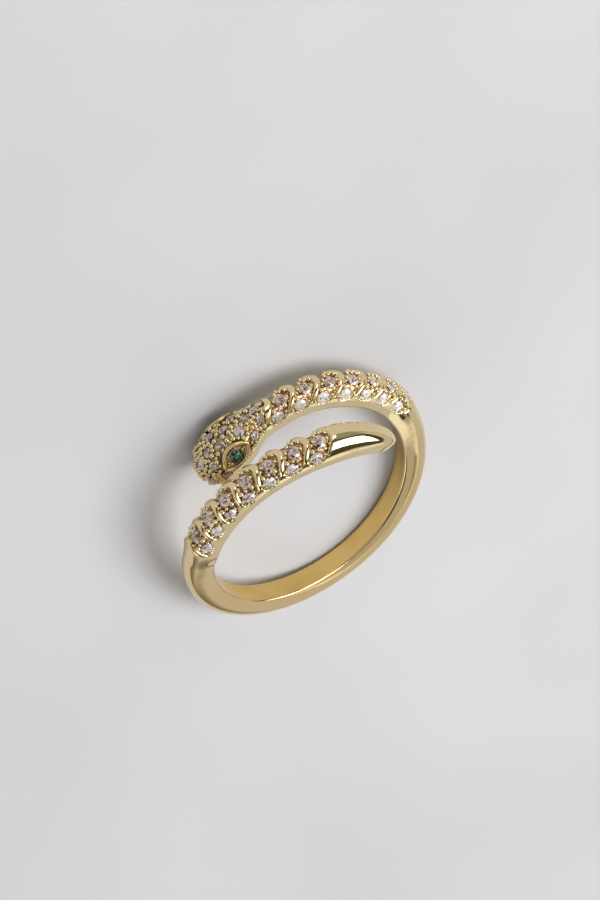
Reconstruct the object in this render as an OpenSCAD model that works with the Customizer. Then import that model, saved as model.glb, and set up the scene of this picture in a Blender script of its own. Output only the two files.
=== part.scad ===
// Snake ring: an open bypass ring whose set tail and set head lie side by side on top.
// The snake is measured by its angle round the finger, from the tail tip to the nose, in the frame
// whose z axis is the finger's. The whole ring is then laid on its side as it comes to rest.

/* [Ring] */
// Radius of the finger hole
finger_radius = 8.5; // [8.4:0.1:9.2]
// How much further the plain shank's wall lies from the finger's axis
shank_relief = 0.02; // [0.01:0.01:0.05]
// Height of the flat sides of the band
side_height = 0.75; // [0.7:0.05:0.85]
// How full the domed outside of the band is, 1 for an ellipse
dome_power = 0.85; // [0.8:0.05:1]

/* [Band] */
// Half of the width of the two set arms
arm_half = 1.22; // [1.2:0.02:1.3]
// Thickness of the two set arms
arm_thick = 2.25; // [2.2:0.05:2.4]
// Half of the width of the plain shank
shank_half = 0.92; // [0.85:0.01:1]
// Thickness of the plain shank
shank_thick = 2; // [1.9:0.05:2.1]

/* [Head] */
// Half of the width of the head at the cheeks
head_half = 2; // [1.95:0.05:2.1]
// Thickness of the head above the finger
head_thick = 2.55; // [2.5:0.05:2.7]
// Length of the pointed eye setting
eye_long = 2.7; // [2.6:0.1:2.8]
// Width of the pointed eye setting
eye_wide = 1.5; // [1.45:0.05:1.55]

/* [Rows of stones] */
// Number of rows of stones on each arm
row_count = 7; // [5:1:7]
// Angle from one row to the next
row_pitch = 11.06; // [10.9:0.02:11.1]
// Angle at which the first row of the tail starts
tail_rows_from = 69.5; // [69:0.5:70]
// Angle at which the first row of the neck starts
neck_rows_from = 367.7; // [367:0.1:368]
// Depth of the troughs that the stones sit in
trough_depth = 0.72; // [0.7:0.02:0.8]
// How far a row leans round the ring for each degree across the band
row_lean = 0.055; // [0.04:0.005:0.06]

/* [Stones] */
// Diameter of the stones on the arms
stone_wide = 1; // [0.9:0.02:1.02]
// Diameter of the small stones on the head
pave_wide = 0.8; // [0.74:0.01:0.81]
// Diameter of the green eye stones
eye_stone = 1; // [0.9:0.05:1.05]
// Gap between a stone and the metal round it
gap = 0.04; // [0.04:0.002:0.05]
// Diameter of the little beads that hold the stones
bead_wide = 0.34; // [0.3:0.01:0.35]

/* [Rest] */
// Angle at which the finger hole leans as the ring lies on its side
rest_tilt = 9.87; // [9:0.01:11]
// Direction of the level line that it leans about
rest_heading = -31; // [-35:0.1:-27]
// Height of the middle of the hole above the surface
rest_lift = 2.924; // [2.85:0.002:3]

/* [Hidden] */

gold = [0.85, 0.72, 0.42];
pale_stone = [0.93, 0.87, 0.89, 0.8];
green_stone = [0.04, 0.42, 0.3, 0.85];
tail_tip = 36;
nose_tip = 488.4;

// Sections of the snake: angle, height of the centre line, half width, thickness
SECTIONS = [
    [tail_tip, 2.25, 0.3, 0.85],
    [39, 2.32, 0.62, 1.2],
    [46, 2.42, 0.92, 1.6],
    [58, 2.45, 1.1, 2],
    [70, 2.45, arm_half, arm_thick],
    [108, 2.1, arm_half, arm_thick],
    [148, 1.5, arm_half, arm_thick],
    [160, 1.3, 1.05, 2.05],
    [210, 0.55, shank_half, shank_thick],
    [270, -0.62, shank_half, shank_thick],
    [330, -1.75, shank_half, shank_thick],
    [362, -2.5, 1.1, 2.1],
    [376, -2.78, arm_half, arm_thick],
    [420, -2.65, arm_half, arm_thick],
    [446, -2.22, arm_half, arm_thick],
    [447.8, -2.19, arm_half, arm_thick],
    [449, -2.16, arm_half - 0.02, arm_thick - 0.22],
    [454, -2.02, 1.32, 2.15],
    [461, -1.9, 1.66, 2.34],
    [469, -1.82, head_half - 0.05, head_thick - 0.05],
    [477, -1.8, head_half - 0.05, head_thick - 0.1],
    [483, -1.8, 1.66, head_thick - 0.42],
    [486.4, -1.8, 1.22, head_thick - 0.85],
    [nose_tip, -1.8, 0.55, head_thick - 1.35]];
ANGLE = 0;
CENTRE = 1;
HALF = 2;
THICK = 3;

// Degrees across the band from the crown: the far side is negative
ACROSS = [-90, -75, -58, -42, -34, -18, 0, 18, 36, 54, 70, 81, 87, 90];
// One row from ridge to ridge: share of the pitch, share of the trough's depth
ROW_SHAPE = [[0, 0.2], [0.08, 0], [0.21, 0], [0.29, 0.16], [0.32, 1], [0.9, 1]];
// Across the band: degrees, share of the trough's depth
TROUGH = [[-90, 0], [-75, 0.12], [-58, 0.26], [-42, 0.26], [-34, 1], [81, 1], [87, 0], [90, 0]];
// Where the stones of a row sit across the band
CROWN_AT = 15;
FLANK_AT = 76;
// Small stones on the head: angle, degrees across the head
HEAD_STONES = [
    [452.4, -8], [450.5, 37], [455.6, 68], [457.1, -1], [461.3, 18], [461.7, -31], [466.1, -6],
    [470.3, 14], [472.6, -17], [476.3, 6], [477.5, 40], [481.8, 9], [483, 73], [477, 84],
    [452.2, -66], [456.7, -50], [478, -40], [477, -84], [483, -72], [484, -26]];
// Beads between them: angle, degrees across the head
HEAD_BEADS = [
    [449.6, 5], [455, 17], [455.6, 40], [455.2, -26], [459.2, -14], [463.9, -16], [465.3, 6],
    [465.4, 26], [461.2, 42], [458.6, 40], [469.4, -9], [473.6, 0], [473.4, 29], [476, -17],
    [479.2, 22], [479.3, -8], [481.6, 34], [480.4, 58], [484, 46], [467.4, -33], [471.6, -40],
    [475.2, -30], [481.2, -20], [480.6, -56], [485.8, -6], [450.4, -34], [459.6, -50]];
// Beads of one row: share of the pitch from its middle, degrees across the band
ROW_BEADS = [[-0.24, 45], [0.24, 46], [-0.24, -22], [0.24, -20], [-0.25, 85], [0.25, 85]];
ROW_MIDDLE = 0.6;
bead_sink = 0.12;
stone_sink = 0.2;
pave_sink = 0.1;
EYE_ANGLE = 468;
EYE_ACROSS = 66;
eye_turn = 9;
eye_rim_rise = 0.03;
eye_rim_wall = 0.17;
eye_hollow_depth = 0.24;
eye_sink = 0.14;

function last(v) = len(v) - 1;
function find(table, x, i = 0) = i >= last(table) - 1 || x < table[i + 1][0] ? i : find(table, x, i + 1);
function slope(table, i, col) =
    i <= 0 || i >= last(table) ? 0
    : let (before = (table[i][col] - table[i - 1][col]) / (table[i][0] - table[i - 1][0]),
           after = (table[i + 1][col] - table[i][col]) / (table[i + 1][0] - table[i][0]))
      before * after <= 0 ? 0 : 2 * before * after / (before + after);
// A smooth curve through one column of a table, with no overshoot
function smooth(table, x, col) =
    let (i = find(table, x),
         wide = table[i + 1][0] - table[i][0],
         t = min(1, max(0, (x - table[i][0]) / wide)),
         lift = table[i][col] * (1 + 2 * t) * (1 - t) * (1 - t) + table[i + 1][col] * t * t * (3 - 2 * t))
    lift + wide * t * (1 - t) * (slope(table, i, col) * (1 - t) - slope(table, i + 1, col) * t);
function straight(table, x) =
    let (i = find(table, x),
         t = min(1, max(0, (x - table[i][0]) / (table[i + 1][0] - table[i][0]))))
    table[i][1] * (1 - t) + table[i + 1][1] * t;

function rows_end(from) = from + row_count * row_pitch;
function in_rows(a, from) = a >= from && a <= rows_end(from);
function row_place(a) =
    in_rows(a, tail_rows_from) ? (a - tail_rows_from) / row_pitch
    : in_rows(a, neck_rows_from) ? (a - neck_rows_from) / row_pitch
    : 0;
// Share of the lean: full on the set arms and none on the shank, the tail tip and the head
LEAN_SHARE = [[tail_tip, 0], [62, 0.6], [70, 1], [148, 1], [170, 0], [345, 0], [366, 1], [446, 1], [462, 0],
    [nose_tip, 0]];
function lean(a, across) = straight(LEAN_SHARE, a) * row_lean * (across > 0 ? across : across * 0.4);
function point(a, r, z) = [r * cos(a), r * sin(a), z];
function dome(x) = pow(abs(x), dome_power);
// A point of the outside, before the troughs are cut
function skin(a, across) =
    let (at = a + lean(a, across),
         half = smooth(SECTIONS, a, HALF),
         thick = smooth(SECTIONS, a, THICK),
         side = min(side_height, thick * 0.45))
    point(at,
          finger_radius + side + (thick - side) * dome(cos(across)),
          smooth(SECTIONS, a, CENTRE) + half * sign(across) * dome(sin(across)));
function unit(v) = v / norm(v);
function outward(a, across) =
    let (c = min(86, max(-86, across)),
         along = skin(a + 0.4, c) - skin(a - 0.4, c),
         over = skin(a, c + 2) - skin(a, c - 2))
    unit(cross(along, over));
function trough(a, across) =
    let (rows = row_place(a), t = rows - floor(rows))
    rows <= 0 || rows >= row_count ? 0
    : trough_depth * straight(concat(ROW_SHAPE, [[1, 0.16]]), t) * straight(TROUGH, across);
function metal(a, across) = skin(a, across) - outward(a, across) * trough(a, across);
// A corner of the inside, a little inside the finger hole, which is bored later
function inside(a, side) =
    let (edge = skin(a, 90 * side))
    [edge.x, edge.y, 0] * (finger_radius - 0.4) / norm([edge.x, edge.y]) + [0, 0, edge.z];

STATIONS = concat(
    [for (a = [tail_tip, 37, 39, 42, 46, 51, 57, 63, 67]) a],
    [for (k = [0:row_count - 1]) for (s = ROW_SHAPE) tail_rows_from + (k + s[0]) * row_pitch],
    [for (a = [rows_end(tail_rows_from):5:146]) a],
    [for (a = [147, 150, 154, 160]) a],
    [for (a = [168:8:352]) a],
    [358, 363],
    [for (k = [0:row_count - 1]) for (s = ROW_SHAPE) neck_rows_from + (k + s[0]) * row_pitch],
    [for (a = [rows_end(neck_rows_from):5:444.5]) a],
    [for (a = [445.3, 446.6, 447.8, 449, 453, 457, 461, 465, 469, 473, 477, 480.5, 483.5, 486, 487.6, nose_tip]) a]);

function ring_of(a) = concat([inside(a, -1)], [for (c = ACROSS) metal(a, c)], [inside(a, 1)]);

// The whole snake as one skin through its sections
module snake_skin() {
    per = len(ACROSS) + 2;
    rings = len(STATIONS);
    points = [for (a = STATIONS) each ring_of(a)];
    sides = [for (i = [0:rings - 2]) for (j = [0:per - 1])
        let (p = i * per + j, q = i * per + (j + 1) % per)
        each [[p, q, q + per], [p, q + per, p + per]]];
    tip = [[for (j = [0:per - 1]) per - 1 - j]];
    nose = [[for (j = [0:per - 1]) (rings - 1) * per + j]];
    polyhedron(points = points, faces = concat(sides, tip, nose), convexity = 12);
}

// Lays a child on the snake's skin, its z axis outwards and its x axis along the snake
module on_skin(a, across, sink = 0) {
    up = outward(a, across);
    ahead = skin(a + 0.5, across) - skin(a - 0.5, across);
    along = unit(ahead - up * (ahead * up));
    over = cross(up, along);
    at = skin(a, across) - up * sink;
    multmatrix([
        [along.x, over.x, up.x, at.x],
        [along.y, over.y, up.y, at.y],
        [along.z, over.z, up.z, at.z],
        [0, 0, 0, 1]])
        children();
}

// A round cut stone with its girdle at height zero
module cut_stone(wide, sides = 12) {
    hull() {
        translate([0, 0, 0.14 * wide])
            cylinder(h = 0.01 * wide, d = 0.56 * wide, $fn = 8);
        translate([0, 0, -0.03 * wide])
            rotate([0, 0, 180 / sides])
                cylinder(h = 0.03 * wide, d = wide, $fn = sides);
        translate([0, 0, -0.43 * wide])
            cylinder(h = 0.01 * wide, d = 0.04 * wide, $fn = 8);
    }
}

// The hollow that a round cut stone sits in, open above
module seat(wide) {
    deep = 0.43 * wide + gap;
    room = wide / 2 + 1.35 * gap;
    rotate_extrude($fn = 10)
        polygon([[0, -deep], [0.1 * room, -deep], [room, -0.03 * wide], [room, room], [0, room]]);
}

// A little bead on a post that holds the stones beside it
module bead_post(depth) {
    translate([0, 0, -depth])
        cylinder(h = depth + 0.2 * bead_wide, d1 = bead_wide * 1.1, d2 = bead_wide * 0.7, $fn = 5);
}

// A pointed oval, as two arcs that cross
module almond(long, wide) {
    arc = (long * long + wide * wide) / (4 * wide);
    intersection() {
        translate([0, arc - wide / 2])
            circle(r = arc, $fn = 40);
        translate([0, wide / 2 - arc])
            circle(r = arc, $fn = 40);
    }
}

// Middle of a row's trough at the crown
function row_middle(from, row) = from + (row - 1 + ROW_MIDDLE) * row_pitch;

module row_beads(from) {
    for (row = [1:row_count])
        for (spot = ROW_BEADS)
            on_skin(row_middle(from, row) + spot[0] * row_pitch, spot[1], bead_sink)
                bead_post(trough_depth - bead_sink + 0.1);
}

module at_row_stones(from) {
    for (row = [1:row_count])
        for (across = [CROWN_AT, FLANK_AT])
            on_skin(row_middle(from, row), across, stone_sink)
                children();
}

// Places its children at each stone of the head
module at_head_stones() {
    for (spot = HEAD_STONES)
        on_skin(spot[0], spot[1], pave_sink)
            children();
}

module head_beads() {
    for (spot = HEAD_BEADS)
        on_skin(spot[0], spot[1], pave_sink)
            bead_post(0.3);
}

module at_eye(side) {
    on_skin(EYE_ANGLE, side * EYE_ACROSS)
        rotate([0, 0, side * eye_turn])
            children();
}

module eye_rim() {
    translate([0, 0, -0.9])
        linear_extrude(height = 0.9 + eye_rim_rise)
            almond(eye_long, eye_wide);
}

module eye_hollow() {
    translate([0, 0, -eye_hollow_depth])
        linear_extrude(height = 1)
            almond(eye_long - 2.6 * eye_rim_wall, eye_wide - 2 * eye_rim_wall);
    translate([0, 0, -eye_sink])
        seat(eye_stone);
}

// All the cast metal, before the finger hole is bored
module cast_snake() {
    difference() {
        union() {
            snake_skin();
            at_eye(1) eye_rim();
            at_eye(-1) eye_rim();
            row_beads(tail_rows_from);
            row_beads(neck_rows_from);
            head_beads();
        }
        at_row_stones(tail_rows_from) seat(stone_wide);
        at_row_stones(neck_rows_from) seat(stone_wide);
        at_head_stones() seat(pave_wide);
        at_eye(1) eye_hollow();
        at_eye(-1) eye_hollow();
    }
}

module finger_hole() {
    cylinder(h = 16, r = finger_radius, center = true, $fn = 144);
    intersection() {
        cylinder(h = 16, r = finger_radius + shank_relief, center = true, $fn = 144);
        translate([0, -6 - finger_radius / 4, 0])
            cube([30, 12, 20], center = true);
    }
}

// Lays the ring on its side as it comes to rest
module at_rest() {
    translate([0, 0, rest_lift])
        rotate(a = rest_tilt, v = [cos(rest_heading), sin(rest_heading), 0])
            children();
}

module ring_body() {
    color(gold)
        at_rest()
            difference() {
                resize([0, 0, 0])
                    cast_snake();
                finger_hole();
            }
}

module head_stones() {
    color(pale_stone)
        at_rest()
            at_head_stones()
                cut_stone(pave_wide, 8);
}

module row_stone(from, row, across) {
    color(pale_stone)
        at_rest()
            on_skin(row_middle(from, row), across, stone_sink)
                cut_stone(stone_wide);
}

module eye_stone(side) {
    color(green_stone)
        at_rest()
            at_eye(side)
                translate([0, 0, -eye_sink])
                    cut_stone(eye_stone);
}

ring_body();
head_stones();
eye_stone(1);  // eye_stone_near
eye_stone(-1);  // eye_stone_far
for (row = [1:row_count]) {
    row_stone(tail_rows_from, row, CROWN_AT);
    row_stone(tail_rows_from, row, FLANK_AT);
    row_stone(neck_rows_from, row, CROWN_AT);
    row_stone(neck_rows_from, row, FLANK_AT);
}
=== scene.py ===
"""Looks of the snake ring: polished gold, cut stones, little gold beads, a pale floor and soft light."""
import math

import bpy
import numpy as np
from mathutils import Matrix, Vector

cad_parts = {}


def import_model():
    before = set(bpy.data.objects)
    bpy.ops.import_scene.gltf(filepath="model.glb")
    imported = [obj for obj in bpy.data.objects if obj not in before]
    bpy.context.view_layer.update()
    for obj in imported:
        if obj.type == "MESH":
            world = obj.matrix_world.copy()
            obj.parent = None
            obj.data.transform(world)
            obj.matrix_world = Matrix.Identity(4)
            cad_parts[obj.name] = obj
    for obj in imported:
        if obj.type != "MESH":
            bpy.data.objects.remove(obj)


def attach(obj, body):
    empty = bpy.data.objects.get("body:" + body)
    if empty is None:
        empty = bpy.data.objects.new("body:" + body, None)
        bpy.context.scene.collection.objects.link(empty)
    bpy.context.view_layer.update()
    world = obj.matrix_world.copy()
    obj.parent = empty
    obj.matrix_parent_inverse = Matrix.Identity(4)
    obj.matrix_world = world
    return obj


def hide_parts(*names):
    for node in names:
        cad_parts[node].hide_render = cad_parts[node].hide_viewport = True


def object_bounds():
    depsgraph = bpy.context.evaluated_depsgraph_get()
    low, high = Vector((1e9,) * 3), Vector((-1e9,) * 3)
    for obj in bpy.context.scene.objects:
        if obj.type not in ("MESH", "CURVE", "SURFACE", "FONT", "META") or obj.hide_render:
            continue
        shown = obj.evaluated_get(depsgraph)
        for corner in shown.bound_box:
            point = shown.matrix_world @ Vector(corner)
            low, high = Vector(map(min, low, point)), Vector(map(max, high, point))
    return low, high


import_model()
CAD_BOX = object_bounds()

# Sizes in millimetres and degrees, as in the part's own source
MM = 0.001
# The finger hole's radius, the height of the band's flat sides and the power of its dome
FINGER, SIDE, DOME = 8.5, 0.75, 0.85
# A flat side is at most this share of the thickness
SIDE_SHARE = 0.45
# Half the width and the thickness of the arms, the shank and the head
ARM_HALF, ARM_THICK = 1.22, 2.25
SHANK_HALF, SHANK_THICK = 0.92, 2.0
HEAD_HALF, HEAD_THICK = 2.0, 2.55
EYE_LONG, EYE_WIDE = 2.7, 1.5
# The rows: how many on each arm, degrees from one to the next, and where they start
ROWS, PITCH = 7, 11.06
TAIL_FROM, NECK_FROM = 69.5, 367.7
# How far the rows lean for each degree across, and the share of that on the far side
LEAN, FAR_LEAN = 0.055, 0.4
# How wide the stones are and how deep their girdles lie: in the rows, on the head and in the eyes
STONE, PAVE, EYE_STONE = 1.0, 0.8, 1.0
STONE_SINK, PAVE_SINK, EYE_SINK = 0.2, 0.1, 0.14
# How the ring lies: its tilt, the heading of the tilt's axis and its lift
REST_TILT, REST_HEADING, REST_LIFT = 9.87, -31.0, 2.924
TAIL_TIP, NOSE_TIP = 36.0, 488.4
# Middle of a row as a share of the pitch, and degrees across of its two stones
ROW_MIDDLE = 0.6
CROWN_AT, FLANK_AT = 15.0, 76.0
EYE_ANGLE, EYE_ACROSS, EYE_TURN = 468.0, 66.0, 9.0

# Sections of the snake: angle, height of the centre line, half width, thickness
SECTIONS = np.array([
    [TAIL_TIP, 2.25, 0.3, 0.85],
    [39, 2.32, 0.62, 1.2],
    [46, 2.42, 0.92, 1.6],
    [58, 2.45, 1.1, 2],
    [70, 2.45, ARM_HALF, ARM_THICK],
    [108, 2.1, ARM_HALF, ARM_THICK],
    [148, 1.5, ARM_HALF, ARM_THICK],
    [160, 1.3, 1.05, 2.05],
    [210, 0.55, SHANK_HALF, SHANK_THICK],
    [270, -0.62, SHANK_HALF, SHANK_THICK],
    [330, -1.75, SHANK_HALF, SHANK_THICK],
    [362, -2.5, 1.1, 2.1],
    [376, -2.78, ARM_HALF, ARM_THICK],
    [420, -2.65, ARM_HALF, ARM_THICK],
    [446, -2.22, ARM_HALF, ARM_THICK],
    [447.8, -2.19, ARM_HALF, ARM_THICK],
    [449, -2.16, ARM_HALF - 0.02, ARM_THICK - 0.22],
    [454, -2.02, 1.32, 2.15],
    [461, -1.9, 1.66, 2.34],
    [469, -1.82, HEAD_HALF - 0.05, HEAD_THICK - 0.05],
    [477, -1.8, HEAD_HALF - 0.05, HEAD_THICK - 0.1],
    [483, -1.8, 1.66, HEAD_THICK - 0.42],
    [486.4, -1.8, 1.22, HEAD_THICK - 0.85],
    [NOSE_TIP, -1.8, 0.55, HEAD_THICK - 1.35]])
# Share of the rows' lean: angle, share
LEAN_SHARE = np.array([
    [TAIL_TIP, 0], [62, 0.6], [70, 1], [148, 1], [170, 0], [345, 0], [366, 1], [446, 1], [462, 0],
    [NOSE_TIP, 0]])
# Small stones of the head: angle, degrees across
HEAD_STONES = [
    [452.4, -8], [450.5, 37], [455.6, 68], [457.1, -1], [461.3, 18], [461.7, -31], [466.1, -6],
    [470.3, 14], [472.6, -17], [476.3, 6], [477.5, 40], [481.8, 9], [483, 73], [477, 84],
    [452.2, -66], [456.7, -50], [478, -40], [477, -84], [483, -72], [484, -26]]
# Which of them are clear
CLEAR_ON_HEAD = (2, 4, 11)
# Beads that stand where the head shows them: angle, degrees across
HEAD_BEADS = [
    [449.7, 4], [449.3, 20], [448.9, 66], [455.2, 17], [455.5, 38], [455.4, -20], [457.6, -30],
    [458.8, -17], [459.3, -48], [460.4, -4], [463.2, -15], [461.2, 42], [458.6, 42], [464.9, 5],
    [464.7, 24], [465.4, -52], [468.2, -33], [470.8, -37], [474.8, -48], [469.3, -6], [473.9, -3],
    [473.2, 3], [475.4, -16], [472.8, 27], [475.3, 19], [475.4, 39], [478.9, 17], [477.6, -8],
    [479.3, 6], [483.9, 14], [481.3, 29], [480.9, 68], [481.2, 88], [484.0, 48], [480.3, 56],
    [481.2, -16], [480.9, -54], [486.0, -6], [486.2, 22], [453.6, 54], [451.6, 62]]


def transform():
    """From the ring's own frame in millimetres to the row frame in metres."""
    heading = math.radians(REST_HEADING)
    axis = Vector((math.cos(heading), math.sin(heading), 0))
    tilt = Matrix.Rotation(math.radians(REST_TILT), 4, axis)
    return Matrix.Scale(MM, 4) @ Matrix.Translation((0, 0, REST_LIFT)) @ tilt


TO_ROW = transform()


def unit(v):
    return v / np.linalg.norm(v, axis=-1, keepdims=True)


def smooth(x, column):
    """A curve without overshoot through one column of the sections."""
    at, value = SECTIONS[:, 0], SECTIONS[:, column]
    rise = np.diff(value) / np.diff(at)
    slope = np.zeros(len(at))
    both = rise[:-1] * rise[1:]
    slope[1:-1] = np.where(both > 0, 2 * both / np.where(both > 0, rise[:-1] + rise[1:], 1), 0)
    i = np.clip(np.searchsorted(at, x, side="right") - 1, 0, len(at) - 2)
    wide = at[i + 1] - at[i]
    t = np.clip((x - at[i]) / wide, 0, 1)
    lift = value[i] * (1 + 2 * t) * (1 - t) ** 2 + value[i + 1] * t * t * (3 - 2 * t)
    return lift + wide * t * (1 - t) * (slope[i] * (1 - t) - slope[i + 1] * t)


def step(low, high, x):
    """A smooth step from 0 to 1 while x goes from one value to the other, which may be the lower one."""
    t = np.clip((x - low) / (high - low), 0, 1)
    return t * t * (3 - 2 * t)


def skin(a, c):
    """The outside of the snake at an angle round the ring and degrees across it."""
    a, c = np.broadcast_arrays(np.asarray(a, float), np.asarray(c, float))
    share = np.interp(a, LEAN_SHARE[:, 0], LEAN_SHARE[:, 1])
    at = np.radians(a + share * LEAN * np.where(c > 0, c, FAR_LEAN * c))
    thick = smooth(a, 3)
    side = np.minimum(SIDE, SIDE_SHARE * thick)
    turn = np.radians(c)
    r = FINGER + side + (thick - side) * np.abs(np.cos(turn)) ** DOME
    z = smooth(a, 1) + smooth(a, 2) * np.sign(c) * np.abs(np.sin(turn)) ** DOME
    return np.stack([r * np.cos(at), r * np.sin(at), z], -1)


# Degrees across past which the outward direction turns no further
OUTWARD_MOST = 86
# Degrees to each side, along and across, over which the skin's slopes are taken
SLOPE_ALONG, SLOPE_ACROSS = 0.4, 2


def outward(a, c):
    """The direction that stands on the skin, from the slopes along the snake and across it."""
    c = np.clip(c, -OUTWARD_MOST, OUTWARD_MOST)
    along = skin(a + SLOPE_ALONG, c) - skin(a - SLOPE_ALONG, c)
    return unit(np.cross(along, skin(a, c + SLOPE_ACROSS) - skin(a, c - SLOPE_ACROSS)))


def lay(a, c, sink=0.0):
    """Axes on the skin: x along the snake, y across it, z outwards, in the ring's own frame."""
    up = outward(a, c)
    ahead = skin(a + 0.5, c) - skin(a - 0.5, c)
    along = unit(ahead - up * (ahead @ up))
    place = np.eye(4)
    place[:3, :] = np.stack([along, np.cross(up, along), up, skin(a, c) - up * sink], 1)
    return place


def turned(place, degrees):
    t = math.radians(degrees)
    spin = np.eye(4)
    spin[:2, :2] = [[math.cos(t), -math.sin(t)], [math.sin(t), math.cos(t)]]
    return place @ spin


def moved(place, points):
    return points @ place[:3, :3].T + place[:3, 3]


def local_to(place, points):
    return (points - place[:3, 3]) @ place[:3, :3]


# Degrees across for which the length over an arm is measured, and the angle at which it is
OVER_DEGREES = np.linspace(-90, 90, 361)
ARM_ANGLE = 100.0
# A row's length is measured this far under the crown's skin
CROWN_UNDER = 0.15
ROW_LENGTH = math.radians(PITCH) * (FINGER + ARM_THICK - CROWN_UNDER)


def lengths_over():
    """Length over an arm from its crown to each of the degrees across, in millimetres."""
    steps = np.linalg.norm(np.diff(skin(ARM_ANGLE, OVER_DEGREES), axis=0), axis=1)
    length = np.concatenate([[0], np.cumsum(steps)])
    return length - np.interp(0, OVER_DEGREES, length)


OVER_LENGTH = lengths_over()


def over(c):
    return np.interp(c, OVER_DEGREES, OVER_LENGTH)


# Middle line of a row's ridge: share of the pitch, degrees across, from the near side over the crown
RIDGE = np.array([
    [0.06, 88], [0.06, 60], [0.065, 30], [0.08, 12], [0.11, 0], [0.17, -11], [0.27, -20],
    [0.37, -28], [0.46, -38], [0.52, -50], [0.54, -70]])
RIDGE_HALF = 0.33
# Depth of its round top at the edge, by the square and by the fourth power, and the slope of its wall
RIDGE_SQUARE, RIDGE_FOURTH, RIDGE_WALL = 0.13, 0.15, 5
# Its cut on the near side, with a flat front, a crest and a round back: share of the pitch, depth
NEAR_CUT = np.array([
    [-0.085, 0.6], [-0.055, 0.14], [-0.04, 0.075], [0.04, 0.004], [0.055, 0.0], [0.075, 0.004],
    [0.13, 0.04], [0.17, 0.1], [0.2, 0.2], [0.23, 0.6]])
# Middle and half width of that cut, as shares of the pitch, and how steeply it goes on down past them
CUT_MIDDLE, CUT_HALF, CUT_WALL = 0.07, 0.16, 10
# Degrees across between which the bar over the crown turns into that cut
BAR_TO_CUT = (8, 30)


def ridge_away(t, v):
    """Distance over the skin, in millimetres, from the middle line of a row's ridge."""
    path = np.stack([RIDGE[:, 0] * ROW_LENGTH, over(RIDGE[:, 1])], -1)
    x, y = np.broadcast_arrays(t * ROW_LENGTH, v)
    best = np.full(x.shape, np.inf)
    for p, q in zip(path[:-1], path[1:]):
        way = q - p
        along = np.clip(((x - p[0]) * way[0] + (y - p[1]) * way[1]) / (way @ way), 0, 1)
        best = np.minimum(best, np.hypot(x - p[0] - along * way[0], y - p[1] - along * way[1]))
    return best


def bar_depth(away):
    """A round bar whose top is the skin and whose sides go down steeply."""
    share = np.minimum(away / RIDGE_HALF, 1)
    wall = np.maximum(away - RIDGE_HALF, 0) * RIDGE_WALL
    return RIDGE_SQUARE * share ** 2 + RIDGE_FOURTH * share ** 4 + wall


def ridge_depth(t, c):
    """Depth of a row's ridge: a bar over the crown that turns into a leaning cut on the near side."""
    bar = bar_depth(ridge_away(t, over(c)))
    wall = np.maximum(np.abs(t - CUT_MIDDLE) - CUT_HALF, 0) * CUT_WALL
    cut = np.interp(t, NEAR_CUT[:, 0], NEAR_CUT[:, 1]) + wall
    share = step(*BAR_TO_CUT, c)
    return bar * (1 - share) + cut * share


# Depth of the low ground of the rows, and degrees across where it starts at the far edge
FLOOR = 0.42
FAR_EDGE = (-89, -64)
# Past these degrees across the ground is low only in the flank stone's cell, of this half width
CELL_FROM, CELL_HALF = 74, 0.56
# The cell's soft edge and its hard one, past its half width, and degrees across where only that is left
CELL_SOFT, CELL_HARD, CELL_SIDE = (0.16, 0.04), (0.02, -0.06), (88, 78)
# A dip past the tail's last ridge: depth, both ends in shares of the pitch and in degrees across
DIP = 0.07
DIP_START, DIP_END, DIP_FAR, DIP_NEAR = (0.02, 0.2), (1.1, 0.4), (-70, -40), (45, 20)
# The collar round a row's stone: its depth, its width and the slope of its wall
COLLAR_DEPTH, COLLAR_WIDE, COLLAR_WALL = 0.24, 0.05, 4
# Seats of the stones: radius, depth at that radius, slope, greatest depth
ROW_SEAT = (0.5 * STONE + 0.02, STONE_SINK + 0.06, 0.95, 0.72)
HEAD_SEAT = (0.5 * PAVE + 0.03, PAVE_SINK + 0.05, 0.9, 0.5)
EYE_SEAT = (0.5 * EYE_STONE + 0.02, EYE_SINK + 0.06, 0.9, 0.6)
# The rows' relief reaches this far past the first and the last row, in shares of the pitch
ROWS_BEFORE, ROWS_AFTER = 0.3, 1.1
# Degrees across where the rows' relief ends on the near side
NEAR_EDGE = (90, 86.5)


def seat_depth(away, seat):
    """Depth of a stone's seat at a distance from its middle."""
    rim, start, slope, most = seat
    return np.minimum(start + (rim - away) * slope, most)


def cell_share(c, past):
    """Share of the low ground beside a flank stone, at a distance past the edge of its cell."""
    return np.maximum(step(*CELL_SIDE, c) * step(*CELL_SOFT, past), step(*CELL_HARD, past))


def dip_depth(past, c):
    """Depth of the dip at a share of the pitch past the tail's last ridge."""
    return DIP * step(*DIP_START, past) * step(*DIP_END, past) * step(*DIP_FAR, c) * step(*DIP_NEAR, c)


def low_ground(t, c, row, past_cell, start):
    """Depth of the low ground at a share of the pitch in a row: its cell, and a valley on the far side."""
    line = np.interp(c, RIDGE[::-1, 1], RIDGE[::-1, 0])
    low = FLOOR * step(*FAR_EDGE, c)
    low = np.where(c > CELL_FROM, low * cell_share(c, past_cell), low)
    # Before the first ridge and after the last one the plain skin goes on, but for the tail's dip
    low = np.where((row == 0) & (t < line), 0, low)
    after = (row == ROWS - 1) & (t - 1 > line)
    return np.where(after, dip_depth(t - 1 - line, c) * (start == TAIL_FROM), low)


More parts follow.
